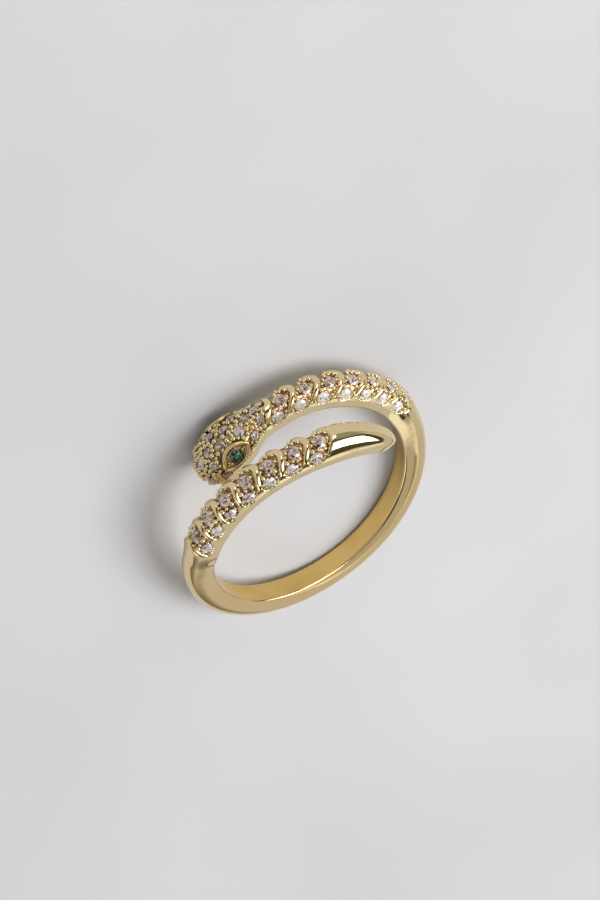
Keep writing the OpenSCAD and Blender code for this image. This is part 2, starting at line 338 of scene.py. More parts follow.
def row_relief(a, c, start):
    """Depth of the metal under the skin in the rows of stones that start at an angle."""
    rows, c = np.broadcast_arrays((a - start) / PITCH, c)
    inside = (rows > -ROWS_BEFORE) & (rows < ROWS + ROWS_AFTER)
    row = np.clip(np.floor(rows), 0, ROWS - 1)
    t = rows - row
    u, v = (t - ROW_MIDDLE) * ROW_LENGTH, over(c)
    low = low_ground(t, c, row, np.hypot(u, v - over(FLANK_AT)) - CELL_HALF, start)
    depth = np.minimum(np.minimum(ridge_depth(t, c), ridge_depth(t - 1, c)), low)
    for across in (CROWN_AT, FLANK_AT):
        # A low collar round each stone, and the seat under it
        away = np.hypot(u, v - over(across))
        collar = COLLAR_DEPTH + np.clip(away - 0.5 * STONE - COLLAR_WIDE, 0, 1) * COLLAR_WALL
        depth = np.where(away > ROW_SEAT[0], np.minimum(depth, collar), seat_depth(away, ROW_SEAT))
    return np.where(inside, depth, 0) * step(*NEAR_EDGE, c)


def almond_arc(long, wide):
    """Radius of the two arcs of a pointed oval, and how far their middles lie from its own."""
    arc = (long * long + wide * wide) / (4 * wide)
    return arc, arc - wide / 2


def almond_edge(x, y, long, wide):
    """Signed distance from a pointed oval, less than nothing inside it."""
    arc, off = almond_arc(long, wide)
    return np.maximum(np.hypot(x, y - off), np.hypot(x, y + off)) - arc


def eye_place(side):
    return turned(lay(EYE_ANGLE, side * EYE_ACROSS), side * EYE_TURN)


# Angle at which the head's relief takes over from the neck's
HEAD_FROM = 447.6
# Ground between the head's stones: depth, angles where it starts and ends, degrees across of its sides
FIELD = 0.16
FIELD_START, FIELD_END, FIELD_SIDES = (447.9, 449.6), (NOSE_TIP, 486.6), (90, 84)
# A groove behind the head: angle, spread, depth
GROOVE_AT, GROOVE_SPREAD, GROOVE_DEPTH = 448.6, 0.45, 0.12
# Length and width of an eye's hollow and of the ground that its setting takes
EYE_HOLLOW = (EYE_LONG - 0.42, EYE_WIDE - 0.36)
EYE_GROUND = (EYE_LONG + 0.1, EYE_WIDE + 0.1)
# The hollow's depth, the edge over which it is reached, and its least depths: a share of it, millimetres
HOLLOW_DEPTH, HOLLOW_EDGE, HOLLOW_SHARE, HOLLOW_LEAST = 0.27, (0.04, -0.12), 0.75, 0.05
# A ledge round the setting: its depth and its edge; the eye changes nothing further out than its reach
LEDGE_DEPTH, LEDGE_EDGE, LEDGE_REACH = 0.1, (0.12, 0.02), 0.14
# On the side towards the crown the setting is wider: distances across it count less
EYE_SKEW = 0.74
# An eye is near where it is less far than this, along the skin and through it
EYE_NEAR, EYE_THROUGH = 2, 1.1


def eye_relief(points, depth, on_head, side):
    """Depth of the head's relief with one of its eyes in it."""
    local = local_to(eye_place(side), points)
    x, y, z = local[..., 0], side * local[..., 1], local[..., 2]
    away = np.hypot(x, y)
    near = on_head & (np.abs(z) < EYE_THROUGH) & (away < EYE_NEAR)
    y = np.where(y < 0, y * EYE_SKEW, y)
    edge = almond_edge(x, y, *EYE_HOLLOW)
    ground = almond_edge(x, y, *EYE_GROUND)
    hollow = HOLLOW_DEPTH * step(*HOLLOW_EDGE, edge)
    seat = np.where(away < EYE_SEAT[0], seat_depth(away, EYE_SEAT), 0)
    # Inside the rim the floor is level and doesn't follow the head's curve
    level = np.maximum(z + hollow, HOLLOW_SHARE * hollow)
    level = np.where(seat > 0, np.maximum(z + seat, level), level)
    inside = edge < HOLLOW_EDGE[0]
    ledge = np.maximum(depth, LEDGE_DEPTH * step(*LEDGE_EDGE, ground))
    with_eye = np.where(inside, np.maximum(level, HOLLOW_LEAST), ledge)
    return np.where(near & (ground < LEDGE_REACH), with_eye, depth)


def head_relief(a, c):
    """Depth of the metal under the skin of the head, with its stones' seats and its eyes."""
    points = skin(a, c)
    on_head = np.abs(c) < 90
    field = FIELD * step(*FIELD_START, a) * step(*FIELD_SIDES, np.abs(c)) * step(*FIELD_END, a)
    field = field + GROOVE_DEPTH * np.exp(-((a - GROOVE_AT) / GROOVE_SPREAD) ** 2)
    depth = np.where(on_head, field, 0.0)
    for spot in HEAD_STONES:
        away = np.linalg.norm(points - skin(*spot), axis=-1)
        seat = np.maximum(depth, seat_depth(away, HEAD_SEAT))
        depth = np.where(on_head & (away < HEAD_SEAT[0]), seat, depth)
    for side in (1, -1):
        depth = eye_relief(points, depth, on_head, side)
    return depth


# The far valley ends on the head's back: depth, angles and degrees across of its end
HEAD_VALLEY = 0.34
VALLEY_END, VALLEY_NEAR = (451.6, 449.6), (6, -10)


def relief(a, c):
    """Depth of the metal under the smooth skin; the neck's last ridge runs on over the head's back."""
    a, c = np.broadcast_arrays(a, c)
    rows = row_relief(a, c, TAIL_FROM) + row_relief(a, c, NECK_FROM)
    last_ridge = ridge_depth((a - NECK_FROM) / PITCH - ROWS, c)
    valley = HEAD_VALLEY * step(*VALLEY_END, a) * step(*VALLEY_NEAR, c) * step(*FAR_EDGE, c)
    head = np.minimum(np.maximum(head_relief(a, c), valley), last_ridge)
    return np.where(a < HEAD_FROM, rows, head)


def off_last_ridge(a, c):
    """Distance in millimetres from the edge of the neck's last ridge."""
    return float(ridge_away((a - NECK_FROM) / PITCH - ROWS, over(c))) - RIDGE_HALF


def metal(a, c):
    return skin(a, c) - outward(a, c) * relief(a, c)[..., None]


# Rings of the mesh, close in the rows and on the head: first angle, end, degrees from ring to ring
TAIL_END = TAIL_FROM + ROWS * PITCH
RING_SPANS = ((TAIL_TIP, 68.6, 1.1), (TAIL_FROM - 0.7, TAIL_END + 2.2, 0.28), (TAIL_END + 2.4, 176, 1.2),
              (177, 340, 3.0), (341, NECK_FROM - 3.2, 1.2), (NECK_FROM - 3.0, HEAD_FROM, 0.28),
              (447.7, 487.9, 0.28))
NOSE_RINGS = (487.95, 488.2, NOSE_TIP)
# Degrees across of the mesh's lines: the far side, the crown, the near side
ACROSS = np.concatenate([np.linspace(-90, -60, 10), np.linspace(-58, 60, 60), np.linspace(61.4, 90, 22)])
# Loops on a flat side: share of the way out from the bore, how far they are drawn in
SIDE_LOOPS = ((0.88, 0.004), (0.7, 0.016), (0.45, 0.034), (0.2, 0.056), (0.07, 0.075), (0.0, 0.13))
# Loops in the bore: share of the way across it; its middle lies further out by its hollow
BORE_LOOPS = (0.06, 0.28, 0.5, 0.72, 0.94)
BORE_HOLLOW = 0.06
# The rounded ends: how far they stand out, and in how many layers
END_LONG, END_LAYERS = 0.16, 4
# Which gold a face has: outside, in the rows' low ground, in the bore, between the head's stones; the last
# three are painted shade, darker golds in the low ground and between the stones and a warmer one with
# painted reflections in the bore
OUTSIDE, LOW, BORE, RECESS = range(4)
# Depths past which ground is low and is a recess, and so gets painted shade, and the angle where recesses
# start
LOW_FROM, RECESS_FROM, RECESS_ANGLE = 0.27, 0.12, 449


def stations():
    """Angles of the mesh's rings, from the tail's tip to the nose."""
    return np.concatenate([*(np.arange(*span) for span in RING_SPANS), NOSE_RINGS])


def with_radius(loop, radius):
    """A loop whose points keep their angles and heights and have a new distance from the axis."""
    loop[:, :2] *= (radius / np.linalg.norm(loop[:, :2], axis=1))[:, None]
    return loop


def side_loop(edge, share, pull):
    """A loop on a flat side, at a share of the way from the bore to the side's edge."""
    r = np.linalg.norm(edge[:, :2], axis=1)
    loop = with_radius(edge.copy(), FINGER + (r - FINGER) * share)
    loop[:, 2] -= pull
    return loop


def inner_loops(a):
    """The loops of the near side, the bore and the far side, in the order in which they close the skin."""
    near = [side_loop(skin(a, 90), share, pull) for share, pull in SIDE_LOOPS]
    far = [side_loop(skin(a, -90), share, -pull) for share, pull in reversed(SIDE_LOOPS)]
    low, high = near[-1], far[0]
    bore = [with_radius(low + (high - low) * share, FINGER + BORE_HOLLOW * math.sin(math.pi * share) ** 2)
            for share in BORE_LOOPS]
    return near, bore, far


def round_end(loop, ahead, first, count):
    """Layers and faces that close an end: first numbers the loop's points, count is the next new one."""
    middle = loop.mean(0)
    layers, faces = [], []
    last = np.arange(len(loop)) + first
    for k in range(1, END_LAYERS + 1):
        turn = 0.5 * math.pi * k / END_LAYERS
        if k < END_LAYERS:
            layers.append(middle + (loop - middle) * math.cos(turn) + ahead * END_LONG * math.sin(turn))
            here = np.arange(len(loop)) + count
        else:
            layers.append((middle + ahead * END_LONG)[None, :])
            here = np.full(len(loop), count)
        faces.append(np.stack([last, np.roll(last, -1), np.roll(here, -1), here], 1))
        last = here
        count += len(loop)
    return layers, faces


def metal_tones(a, per, inner):
    """Which gold each face of the skin has: painted shade in the low ground, the bore and the head's
    recesses.
    """
    near, bore, _ = inner
    depth = relief(a[:, None], ACROSS[None, :])
    on_head = (a > RECESS_ANGLE)[:, None] & (depth > RECESS_FROM)
    tone = np.full((len(a), per), OUTSIDE)
    tone[:, :len(ACROSS)] = np.where(on_head, RECESS, np.where(depth > LOW_FROM, LOW, OUTSIDE))
    bore_from = len(ACROSS) + len(near) - 1
    tone[:, bore_from:bore_from + len(bore) + 1] = BORE
    return tone[:-1].ravel()


def body_mesh():
    """The cast metal as one closed skin, and which gold its faces have."""
    a = stations()
    outside = metal(a[:, None], ACROSS[None, :])
    inner = inner_loops(a)
    near, bore, far = inner
    loops = np.stack([outside[:, j] for j in range(len(ACROSS))] + near + bore + far, 1)
    n, per = loops.shape[:2]
    i, j = np.meshgrid(np.arange(n - 1), np.arange(per), indexing="ij")
    p, q = (i * per + j).ravel(), (i * per + (j + 1) % per).ravel()
    points, faces = [loops.reshape(-1, 3)], [np.stack([p, q, q + per, p + per], 1)]
    for end, before, way in ((0, 1, -1), (n - 1, n - 2, 1)):
        ahead = unit(loops[end].mean(0) - loops[before].mean(0))
        layers, quads = round_end(loops[end], ahead, end * per, sum(len(x) for x in points))
        points += layers
        faces += [quad[:, ::way] for quad in quads]
    faces = np.concatenate(faces)
    tones = metal_tones(a, per, inner)
    ends = np.full(len(faces) - len(tones), OUTSIDE)
    return (np.concatenate(points), faces), np.concatenate([tones, ends])


def add_mesh(name, points, faces, materials, rounded, tones):
    """A mesh object from points in the ring's own frame, in millimetres, kept inside the CAD box."""
    world = np.clip(moved(np.array(TO_ROW), points), CAD_BOX[0], CAD_BOX[1])
    # A face that names a point twice loses the second one
    clean = [tuple(dict.fromkeys(int(x) for x in face)) for face in faces]
    mesh = bpy.data.meshes.new(name)
    mesh.from_pydata(world.tolist(), [], clean)
    for material in materials:
        mesh.materials.append(material)
    if tones is not None:
        mesh.polygons.foreach_set("material_index", np.asarray(tones, dtype=np.int32))
    mesh.validate()
    if rounded:
        mesh.shade_smooth()
    obj = bpy.data.objects.new(name, mesh)
    bpy.context.scene.collection.objects.link(obj)
    return obj


def piece(name, built, materials, *nodes, slot="gold", rounded=True, tones=None):
    """A piece on the root body, which takes the place of the nodes named, if any."""
    obj = add_mesh(name, *built, materials, rounded, tones)
    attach(obj, "root")
    if nodes:
        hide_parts(*nodes)


def at(place, built):
    """Points and faces of a small mesh, moved to a place."""
    return moved(place, built[0]), built[1]


def join(parts):
    """Points and faces of several small meshes as one."""
    points, faces, count = [], [], 0
    for p, f in parts:
        points.append(p)
        faces.extend([[x + count for x in face] for face in f])
        count += len(p)
    return np.concatenate(points), faces


# A bead: points round it, points from its top down, and the degrees that these reach
BALL_AROUND, BALL_DOWN, BALL_DEGREES = 12, 7, 130


def ball(radius, height=1.0):
    """A little bead: a ball, stretched to a height, whose underside is cut off."""
    around, down = BALL_AROUND, BALL_DOWN
    points = [[0, 0, radius * height]]
    for i in range(1, down):
        turn = math.radians(BALL_DEGREES) * i / (down - 1)
        for j in range(around):
            t = 2 * math.pi * j / around
            points.append([radius * math.sin(turn) * math.cos(t), radius * math.sin(turn) * math.sin(t),
                           radius * height * math.cos(turn)])
    faces = [[0, 1 + j, 1 + (j + 1) % around] for j in range(around)]
    for i in range(down - 2):
        for j in range(around):
            a, b = 1 + i * around + j, 1 + i * around + (j + 1) % around
            faces.append([a, a + around, b + around, b])
    last = 1 + (down - 2) * around
    faces.append([last + j for j in reversed(range(around))])
    return np.array(points), faces


# Rings of a brilliant: points, turn in shares of a point, distance out and up as shares of its radius
BRILLIANT = ((8, 0, 0.25, 0.3), (8, 0.5, 0.4, 0.3), (8, 0, 0.56, 0.3), (8, 0.5, 0.79, 0.19),
             (16, 0, 1.0, 0.0), (16, 0, 1.0, -0.05), (8, 0.5, 0.3, -0.5))
BRILLIANT_TOP, BRILLIANT_TIP = 0.3, -0.6
# Facets whose middle is lower than this share of the radius are a stone's back
BACK_BELOW = -0.06
# Tones of a stone's facets: painted lit, half-lit and unlit ones on its top, then its back
STONE_TONES = 4


def brilliant(wide):
    """A round brilliant: table, stars, kites, girdle and pavilion; its girdle is at height zero."""
    r = wide / 2
    points = []
    for count, turn, out, up in BRILLIANT:
        for j in range(count):
            t = 2 * math.pi * (j + turn) / count
            points.append([out * r * math.cos(t), out * r * math.sin(t), up * r])
    points += [[0, 0, BRILLIANT_TOP * r], [0, 0, BRILLIANT_TIP * r]]
    # Numbers of the first point of each ring, of the table's middle and of the tip
    starts = [sum(ring[0] for ring in BRILLIANT[:i]) for i in range(len(BRILLIANT) + 1)]
    inner, ring, table, star, top, under, pav, middle = starts
    tip = middle + 1
    faces = []
    for j in range(8):
        n, before = (j + 1) % 8, (j - 1) % 8
        faces += [[middle, inner + j, inner + n], [inner + j, ring + j, inner + n],
                  [inner + j, ring + before, table + j, ring + j], [table + j, table + n, ring + j],
                  [table + j, star + j, table + n]]
        g, mid, nxt = top + 2 * j, top + 2 * j + 1, top + (2 * j + 2) % 16
        faces += [[table + j, star + before, g, star + j], [star + j, g, mid], [star + j, mid, nxt]]
        ug, um, un = under + 2 * j, under + 2 * j + 1, under + (2 * j + 2) % 16
        faces += [[g, ug, um, mid], [mid, um, un, nxt], [ug, pav + j, um], [um, pav + j, un],
                  [ug, pav + before, tip, pav + j]]
    return np.array(points), faces


def facet_tones(built, shares, rng):
    """0 to 2 for the painted lit, half-lit and unlit facets of a stone's top, 3 for those of its back."""
    points, faces = built
    back = [points[face][:, 2].mean() < BACK_BELOW * points[:, 0].max() for face in faces]
    return [STONE_TONES - 1 if behind else int(rng.choice(3, p=shares)) for behind in back]


def nodes_of(material):
    material.use_nodes = True
    tree = material.node_tree
    return tree, tree.nodes["Principled BSDF"]


def object_points(tree):
    return tree.nodes.new("ShaderNodeTexCoord").outputs["Object"]


def direction(azimuth, elevation):
    a, e = math.radians(azimuth), math.radians(elevation)
    return Vector((math.cos(a) * math.cos(e), math.sin(a) * math.cos(e), math.sin(e)))


def distance_along(tree, points, way):
    """How far the points lie along a direction."""
    dot = tree.nodes.new("ShaderNodeVectorMath")
    dot.operation = "DOT_PRODUCT"
    dot.inputs[1].default_value = way
    tree.links.new(points, dot.inputs[0])
    return dot.outputs["Value"]


def noise(tree, points, scale, detail):
    made = tree.nodes.new("ShaderNodeTexNoise")
    made.inputs["Scale"].default_value = scale
    made.inputs["Detail"].default_value = detail
    tree.links.new(points, made.inputs["Vector"])
    return made.outputs["Fac"]


def ramp(tree, value, stops, interpolation="LINEAR"):
    """The colour for a value, from stops of a position and a colour each."""
    made = tree.nodes.new("ShaderNodeValToRGB")
    made.color_ramp.interpolation = interpolation
    elements = made.color_ramp.elements
    for element, (position, colour) in zip(elements, (stops[0], stops[-1])):
        element.position, element.color = position, (*colour, 1)
    for position, colour in stops[1:-1]:
        elements.new(position).color = (*colour, 1)
    tree.links.new(value, made.inputs["Fac"])
    return made.outputs["Color"]


# Values of a noise between which a colour goes from its one shade to the other
NOISE_LOW, NOISE_HIGH = 0.35, 0.65
# A Mix node's sockets for colours: the share, both colours, and the result
MIX_SHARE, MIX_A, MIX_B, MIX_RESULT = 0, 6, 7, 2


def mix_by_noise(tree, points, low, high, scale, detail):
    """A colour that wanders between two with a fine noise on the object itself."""
    return ramp(tree, noise(tree, points, scale, detail), ((NOISE_LOW, low), (NOISE_HIGH, high)))


def patch(tree, points, way, low, high, colour, shade, most=1.0):
    """The colour turns into a shade where the points lie between two distances along a direction."""
    share = tree.nodes.new("ShaderNodeMapRange")
    share.inputs["From Min"].default_value = low
    share.inputs["From Max"].default_value = high
    share.inputs["To Max"].default_value = most
    tree.links.new(distance_along(tree, points, way), share.inputs["Value"])
    mix = tree.nodes.new("ShaderNodeMix")
    mix.data_type = "RGBA"
    mix.inputs[MIX_B].default_value = (*shade, 1)
    tree.links.new(share.outputs["Result"], mix.inputs[MIX_SHARE])
    tree.links.new(colour, mix.inputs[MIX_A])
    return mix.outputs[MIX_RESULT]


# Scales of the noise in the gold: its colour, its polish, and the waves that polishing leaves
TINT_SCALE, POLISH_SCALE, WAVE_SCALE = 420, 1500, 900
WAVE_STRENGTH, WAVE_HEIGHT = 0.1, 0.00004
# The shank's warmer tone, a painted warm reflection: heading, distances along it in metres where it starts
# and is full, its share
SHANK_HEADING, SHANK_FROM, SHANK_TO, SHANK_MOST = 258, -0.0045, 0.003, 0.8


def gold_material(name, light, deep, rough, painted_shank_reflection=None):
    """Polished gold plate with fine waves, warmer on the shank where a painted warm reflection is given."""
    material = bpy.data.materials.new(name)
    tree, shader = nodes_of(material)
    points = object_points(tree)
    shader.inputs["Metallic"].default_value = 1.0
    colour = mix_by_noise(tree, points, deep, light, TINT_SCALE, detail=3)
    # The shank's painted warm reflection
    if painted_shank_reflection:
        way = direction(SHANK_HEADING, 0)
        colour = patch(tree, points, way, SHANK_FROM, SHANK_TO, colour, painted_shank_reflection, SHANK_MOST)
    tree.links.new(colour, shader.inputs["Base Color"])
    smoothest, roughest = ((value,) * 3 for value in rough)
    grey = mix_by_noise(tree, points, smoothest, roughest, POLISH_SCALE, detail=4)
    tree.links.new(grey, shader.inputs["Roughness"])
    bump = tree.nodes.new("ShaderNodeBump")
    bump.inputs["Strength"].default_value = WAVE_STRENGTH
    bump.inputs["Distance"].default_value = WAVE_HEIGHT
    tree.links.new(noise(tree, points, WAVE_SCALE, detail=2), bump.inputs["Height"])
    tree.links.new(bump.outputs["Normal"], shader.inputs["Normal"])
    return material


# Cells on a stone's back: width in metres, share up to which they are painted lit and up to which half-lit
MOSAIC_SIZE, MOSAIC_LIT, MOSAIC_HALF_LIT = 0.00017, 0.45, 0.8
# Scale of the noise in a facet, and how dark it makes its colour
FACET_SCALE, FACET_DARK = 2500, 0.8


def mosaic(tree, points, stops):
    """A colour that changes from cell to cell: painted light and shade, as the lit and unlit facets of a
    cut stone show.
    """
    cells = tree.nodes.new("ShaderNodeTexVoronoi")
    cells.inputs["Scale"].default_value = 1 / MOSAIC_SIZE
    tree.links.new(points, cells.inputs["Vector"])
    pick = tree.nodes.new("ShaderNodeSeparateColor")
    tree.links.new(cells.outputs["Color"], pick.inputs["Color"])
    return ramp(tree, pick.outputs["Red"], stops, "CONSTANT")


def facet_material(name, shade, clear, ior):
    """The top of a cut stone: partly clear, partly a painted colour for the light that its facets give
    back.
    """
    material = bpy.data.materials.new(name)
    tree, shader = nodes_of(material)
    dark = tuple(FACET_DARK * x for x in shade)
    colour = mix_by_noise(tree, object_points(tree), dark, shade, FACET_SCALE, detail=1)
    tree.links.new(colour, shader.inputs["Base Color"])
    shader.inputs["Roughness"].default_value = 0.01
    shader.inputs["IOR"].default_value = ior
    shader.inputs["Transmission Weight"].default_value = clear
    return material


def back_material(name, stops, mirror):
    """The back of a stone: part of its light is mirrored, the rest is scattered, from a painted mosaic of
    lit and unlit facets.
    """
    material = bpy.data.materials.new(name)
    tree, shader = nodes_of(material)
    shader.inputs["Metallic"].default_value = mirror
    tree.links.new(mosaic(tree, object_points(tree), stops), shader.inputs["Base Color"])
    shader.inputs["Roughness"].default_value = 0.06
    return material


def cut_materials(name, lit, half_lit, unlit, clear=0.2, mirror=0.45, ior=2.1):
    """The three kinds of facets on a stone's top, painted lit, half-lit and unlit, and the painted mosaic
    on its back.
    """
    shades = (lit, half_lit, unlit)
    tops = [facet_material(f"{name}_{k}", shade, clear, ior) for k, shade in enumerate(shades, 1)]
    stops = list(zip((0, MOSAIC_LIT, MOSAIC_HALF_LIT), shades))
    return [*tops, back_material(f"{name}_back", stops, mirror)]


# Gold: lighter and deeper colour, least and most roughness, colour of the painted warm reflection on the
# shank
GOLD = gold_material("polished_gold", (0.85, 0.71, 0.42), (0.8, 0.65, 0.35), (0.04, 0.1), (0.82, 0.6, 0.29))
# Darker gold of the rows' low ground: painted shade and painted warm inter-reflection
LOW_GROUND_PAINTED_SHADE_GOLD = gold_material("low_ground_painted_shade_gold", (0.7, 0.5, 0.3), (0.42, 0.27, 0.16), (0.1, 0.22))
# Warmer gold of the bore: painted warm inter-reflection and painted shade
BORE_PAINTED_SHADE_GOLD = gold_material("bore_painted_shade_gold", (0.78, 0.55, 0.2), (0.7, 0.47, 0.15), (0.08, 0.2))
BEAD_GOLD = gold_material("bead_gold", (0.88, 0.76, 0.46), (0.78, 0.63, 0.34), (0.05, 0.12))
# Darker gold between the head's stones: painted shade
RECESS_PAINTED_SHADE_GOLD = gold_material("recess_painted_shade_gold", (0.6, 0.42, 0.24), (0.36, 0.22, 0.11), (0.15, 0.3))
# Stones: painted colours of the lit, half-lit and unlit facets
WHITE = cut_materials("white_stone", (1, 1, 0.99), (0.95, 0.84, 0.8), (0.2, 0.15, 0.13), clear=0.08)
PALE = cut_materials("clear_stone", (1, 0.97, 0.95), (0.74, 0.56, 0.52), (0.06, 0.04, 0.035))
MAUVE = cut_materials("mauve_stone", (1, 0.86, 0.76), (0.7, 0.45, 0.34), (0.08, 0.045, 0.03))
DUSK = cut_materials("dusky_stone", (1, 0.88, 0.76), (0.5, 0.32, 0.23), (0.06, 0.035, 0.025))
GREEN = cut_materials("green_stone", (0.3, 0.9, 0.75), (0.05, 0.42, 0.34), (0.01, 0.12, 0.1),
                      clear=0.7, mirror=0.8, ior=1.8)
# Shares of facets painted lit, half-lit and unlit
WHITE_SHARES, PALE_SHARES, MAUVE_SHARES = (0.6, 0.28, 0.12), (0.45, 0.3, 0.25), (0.36, 0.38, 0.26)
DUSK_SHARES, GREEN_SHARES = (0.3, 0.4, 0.3), (0.2, 0.45, 0.35)


def row_middle(start, row):
    return start + (row - 1 + ROW_MIDDLE) * PITCH


# Beads round the stones of a row: share of the pitch, degrees across, radius
ROW_BEADS = [
    (-0.245, 46, 0.185), (0.245, 45, 0.185), (-0.205, -13, 0.17), (0.2, -12, 0.175), (0.0, -15, 0.14),
    (-0.09, -24, 0.15), (0.11, -25, 0.16), (-0.27, 14, 0.11), (0.28, 8, 0.12), (0.01, 44, 0.13),
    (0.31, 22, 0.1), (-0.28, 66, 0.11), (0.29, 68, 0.11), (-0.16, 89, 0.12), (0.17, 89, 0.12),
    (0.01, 90, 0.1)]
# How far a bead is sunk as a share of its radius, and how far it may stray along, across and down
ROW_BEAD_SUNK = 0.85
STRAY_ALONG, STRAY_ACROSS, STRAY_DOWN = 0.012, 1.5, 0.03


def row_beads(rng):
    """Beads round the stones of each row."""
    parts = []
    for start in (TAIL_FROM, NECK_FROM):
        for row in range(1, ROWS + 1):
            for along, across, radius in ROW_BEADS:
                stray = rng.uniform(-1, 1, 3)
                a = row_middle(start, row) + (along + STRAY_ALONG * stray[0]) * PITCH
                c = across + STRAY_ACROSS * stray[1]
                sink = radius * ROW_BEAD_SUNK + STRAY_DOWN * stray[2]
                parts.append(at(lay(a, c, sink), ball(radius)))
    return join(parts)


# The head's beads: radius of a big one and how much it may differ, least radius of a small one
BEAD_BIG, BEAD_DIFFERS, BEAD_LEAST = 0.2, 0.015, 0.13
# How far a big one keeps off the last ridge, and how far a bead is sunk as a share of its radius
RIDGE_ROOM, HEAD_BEAD_SUNK = 0.1, 0.35
# Tries for the small ones, and the angles and degrees across between which they fall
BEAD_TRIES, BEAD_ANGLES, BEAD_ACROSS = 5000, (449.3, 486.8), (-86, 87)
# How far a small one may go into a stone's edge or another bead, and how much wider an eye counts
INTO_STONE, INTO_BEAD, EYE_ROOM = 0.05, 0.03, 0.3


def bead_room(a, c, stones_at, eyes, centres, radii):
    """How large a bead there can be on the head, between its stones, eyes, beads and ridge."""
    spot = skin(a, c)
    to_beads = np.linalg.norm(np.array(centres) - spot, axis=1) - np.array(radii)
    room = min(np.linalg.norm(stones_at - spot, axis=1).min() - 0.5 * PAVE + INTO_STONE,
               to_beads.min() + INTO_BEAD, off_last_ridge(a, c))
    for eye in eyes:
        x, y, z = local_to(eye, spot)
        if abs(z) < EYE_THROUGH and math.hypot(x, y) < EYE_NEAR:
            room = min(room, float(almond_edge(x, y, EYE_LONG + EYE_ROOM, EYE_WIDE + EYE_ROOM)))
    return room


def head_beads(rng):
    """Beads where the head shows them, then smaller ones in the spaces between its stones."""
    stones_at = np.array([skin(*spot) for spot in HEAD_STONES])
    eyes = [eye_place(side) for side in (1, -1)]
    spots = [(a, c) for a, c in HEAD_BEADS if off_last_ridge(a, c) > RIDGE_ROOM]
    radii = [BEAD_BIG + BEAD_DIFFERS * rng.uniform(-1, 1) for _ in spots]
    centres = [skin(a, c) for a, c in spots]
    for _ in range(BEAD_TRIES):
        a, c = rng.uniform(*BEAD_ANGLES), rng.uniform(*BEAD_ACROSS)
        room = bead_room(a, c, stones_at, eyes, centres, radii)
        if room > BEAD_LEAST:
            spots.append((a, c))
            radii.append(min(room, BEAD_BIG))
            centres.append(skin(a, c))
    return join([at(lay(a, c, radius * HEAD_BEAD_SUNK), ball(radius))
                 for (a, c), radius in zip(spots, radii)])


# Points round a wire, and points along one of an eye's two arcs
WIRE_AROUND, ARC_POINTS = 12, 26
# The rim: length and width, its radius at the points and what its middle has more, and its rise
RIM_LONG, RIM_WIDE = EYE_LONG - 0.16, EYE_WIDE - 0.2
RIM_RADIUS, RIM_MORE, RIM_RISE = 0.1, 0.05, -0.02
# The wire inside it: its shares of the rim's length and width, its radius and its rise
INNER_LONG, INNER_WIDE, INNER_RADIUS, INNER_RISE = 0.86, 0.83, 0.05, -0.1
# How much of the head's curve the rim follows
RIM_FOLLOWS = 0.55
# How a point of the skin is found: rounds, longest step, degrees for both slopes, most degrees across
FIND_ROUNDS, FIND_STEP, FIND_ALONG, FIND_ACROSS, FIND_MOST = 12, 4, 0.1, 0.5, 89


def on_skin(place, side, x, y):
    """The point of the head's skin at two local distances from an eye."""
    spot = np.array([EYE_ANGLE, side * EYE_ACROSS])
    for _ in range(FIND_ROUNDS):
        here = skin(*spot)
        missing = np.array([x, y]) - local_to(place, here)[:2]
        ahead = (skin(spot[0] + FIND_ALONG, spot[1]) - here) @ place[:3, :3] / FIND_ALONG
        across = (skin(spot[0], spot[1] + FIND_ACROSS) - here) @ place[:3, :3] / FIND_ACROSS
        wanted = np.linalg.lstsq(np.array([ahead[:2], across[:2]]).T, missing, rcond=None)[0]
        spot = spot + np.clip(wanted, -FIND_STEP, FIND_STEP)
        spot[1] = min(max(spot[1], -FIND_MOST), FIND_MOST)
    return skin(*spot)


def wire(path, radii, closed):
    """A round bar along a path of points in the ring's own frame."""
    n, around = len(path), WIRE_AROUND
    middle = path.mean(0)
    points, faces = [], []
    for i in range(n):
        before, after = (i - 1, (i + 1) % n) if closed else (max(i - 1, 0), min(i + 1, n - 1))
        ahead = unit(path[after] - path[before])
        outwards = unit(path[i] - middle - ahead * (ahead @ (path[i] - middle)))
        third = np.cross(ahead, outwards)
        for j in range(around):
            t = 2 * math.pi * j / around
            points.append(path[i] + radii[i] * (outwards * math.cos(t) + third * math.sin(t)))
    for i in range(n if closed else n - 1):
        here, there = i * around, (i + 1) % n * around
        for j in range(around):
            k = (j + 1) % around
            faces.append([here + j, here + k, there + k, there + j])
    if not closed:
        faces.append(list(range(around)))
        faces.append([(n - 1) * around + j for j in reversed(range(around))])
    return np.array(points), faces


def eye_rim(side):
    """The raised rim of an eye, a rounded bar along a pointed oval, and a thinner wire inside it."""
    arc, off = almond_arc(RIM_LONG, RIM_WIDE)
    span = math.asin(RIM_LONG / 2 / arc)
    place = eye_place(side)
    turns = np.linspace(-span, span, ARC_POINTS)[:-1]

    def spot(x, y, rise):
        y = y if y > 0 else y / EYE_SKEW
        height = local_to(place, on_skin(place, side, x, side * y))[2]
        return moved(place, np.array([[x, side * y, RIM_FOLLOWS * height + rise]]))[0]

    path = [spot(arc * math.sin(t), arc * math.cos(t) - off, RIM_RISE) for t in turns]
    path += [spot(-arc * math.sin(t), off - arc * math.cos(t), RIM_RISE) for t in turns]
    radii = [RIM_RADIUS + RIM_MORE * math.cos(0.5 * math.pi * t / span) for t in turns] * 2
    rim = wire(np.array(path), radii, True)
    inner = [spot(-INNER_LONG * arc * math.sin(t), INNER_WIDE * (off - arc * math.cos(t)), INNER_RISE)
             for t in turns[2:-1]]
    return join([rim, wire(np.array(inner), [INNER_RADIUS] * len(inner), False)])


